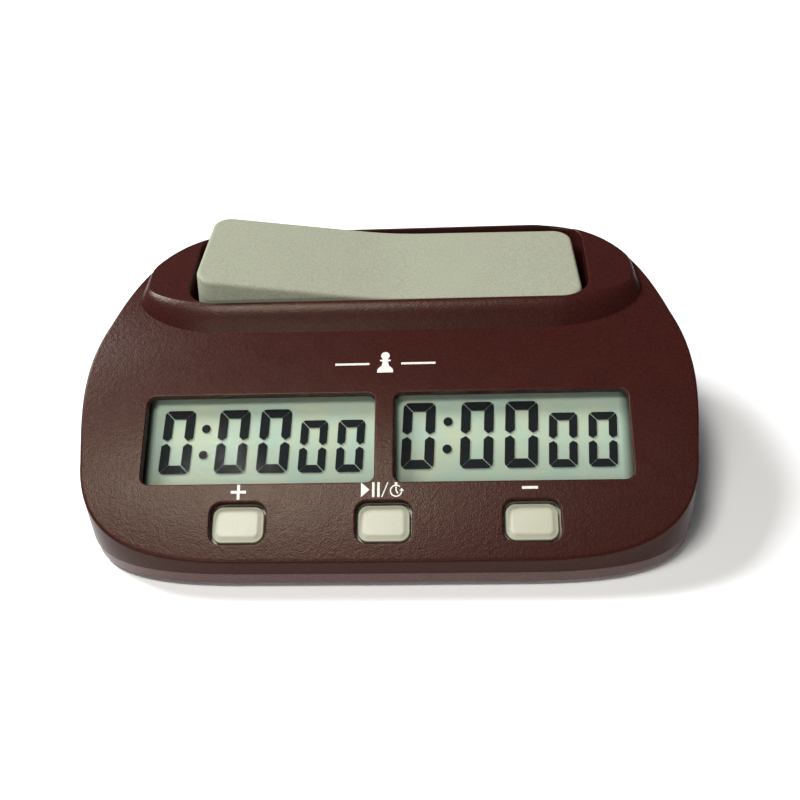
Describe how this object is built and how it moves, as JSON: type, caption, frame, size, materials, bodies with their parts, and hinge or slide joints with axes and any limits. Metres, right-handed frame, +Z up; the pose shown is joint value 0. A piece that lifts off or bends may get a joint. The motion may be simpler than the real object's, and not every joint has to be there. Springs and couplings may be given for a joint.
{
  "type": "digital chess clock",
  "caption": "Wedge-shaped digital chess clock with sloping face, paired display windows, small keys and a broad tilting rocker lever on a raised rear deck.",
  "frame": {"origin": "middle of the underside at the level the rubber feet stand on", "axes": "+Z up, +Y from the player's front edge to the rocker at the back, +X to the right of the player who reads the displays"},
  "size_m": [0.1598, 0.1024, 0.0503],
  "materials": {
    "housing": "fine spark texture",
    "base": "satin",
    "key": "satin",
    "lens": "clear polished",
    "lcd": "satin polariser",
    "frame": "natural",
    "board": "solder mask",
    "rubber": "matte",
    "switch": "satin",
    "plunger": "satin",
    "steel": "zinc plated",
    "spring_steel": "nickel plated",
    "cell": "printed sleeve",
    "brass": "plated",
    "wire_red": "insulation",
    "wire_black": "insulation"
  },
  "bodies": {
    "housing": {"battery": "cell", "battery_contact_negative": "spring_steel", "battery_contact_positive": "brass", "battery_lead_negative": "wire_black", "battery_lead_positive": "wire_red", "battery_spring": "spring_steel", "board_screw_front_left": "steel", "board_screw_front_right": "steel", "board_screw_rear_left": "steel", "board_screw_rear_right": "steel", "bracket_screw_left": "steel", "bracket_screw_right": "steel", "detent_spring": "spring_steel", "display_frame": "frame", "foot_front_left": "rubber", "foot_front_right": "rubber", "foot_rear_left": "rubber", "foot_rear_right": "rubber", "housing_screw_front_left": "steel", "housing_screw_front_right": "steel", "housing_screw_rear_left": "steel", "housing_screw_rear_right": "steel", "key_switch_minus": "switch", "key_switch_play": "switch", "key_switch_plus": "switch", "lcd_panel_left": "lcd", "lcd_panel_right": "lcd", "lower_housing": "base", "main_board": "board", "pivot_bracket": "frame", "rocker_axle": "steel", "rocker_switch_left": "switch", "rocker_switch_right": "switch", "sounder": "switch", "sounder_lead": "wire_black", "switch_board": "board", "switch_cable": "frame", "upper_housing": "housing", "window_lens_left": "lens", "window_lens_right": "lens", "zebra_strip_left": "rubber", "zebra_strip_right": "rubber"},
    "rocker": {"rocker": "key"},
    "battery_door": {"battery_door": "base"},
    "switch_plunger_left": {"switch_plunger_left": "plunger"},
    "switch_plunger_right": {"switch_plunger_right": "plunger"},
    "key_plus": {"button_plus": "key", "key_plunger_plus": "plunger"},
    "key_play": {"button_play": "key", "key_plunger_play": "plunger"},
    "key_minus": {"button_minus": "key", "key_plunger_minus": "plunger"}
  },
  "joints": [
    {"name": "rocker_tilt", "type": "hinge", "parent": "housing", "child": "rocker", "pos_m": [0, 0.0308, 0.036], "axis": [0, 1, 0], "range_deg": [-8.8, 0]},
    {"name": "plus_press", "type": "slide", "parent": "housing", "child": "key_plus", "axis": [0, 0.454, -0.891], "range_m": [0, 0.0005], "stiffness_N_per_m": 1500},
    {"name": "play_press", "type": "slide", "parent": "housing", "child": "key_play", "axis": [0, 0.454, -0.891], "range_m": [0, 0.0005], "stiffness_N_per_m": 1500},
    {"name": "minus_press", "type": "slide", "parent": "housing", "child": "key_minus", "axis": [0, 0.454, -0.891], "range_m": [0, 0.0005], "stiffness_N_per_m": 1500},
    {"name": "switch_left_press", "type": "slide", "parent": "housing", "child": "switch_plunger_left", "axis": [0, 0, 1], "range_m": [-0.0019, 0]},
    {"name": "switch_right_press", "type": "slide", "parent": "housing", "child": "switch_plunger_right", "axis": [0, 0, 1], "range_m": [0, 0.0019]},
    {"name": "battery_door_swing", "type": "hinge", "parent": "housing", "child": "battery_door", "pos_m": [0, -0.0101, 0.0015], "axis": [-1, 0, 0], "range_deg": [0, 30]}
  ],
  "couplings": [
    {"joint": "switch_left_press", "follows": "rocker_tilt", "m_per_rad": 0.012},
    {"joint": "switch_right_press", "follows": "rocker_tilt", "m_per_rad": -0.012}
  ]
}
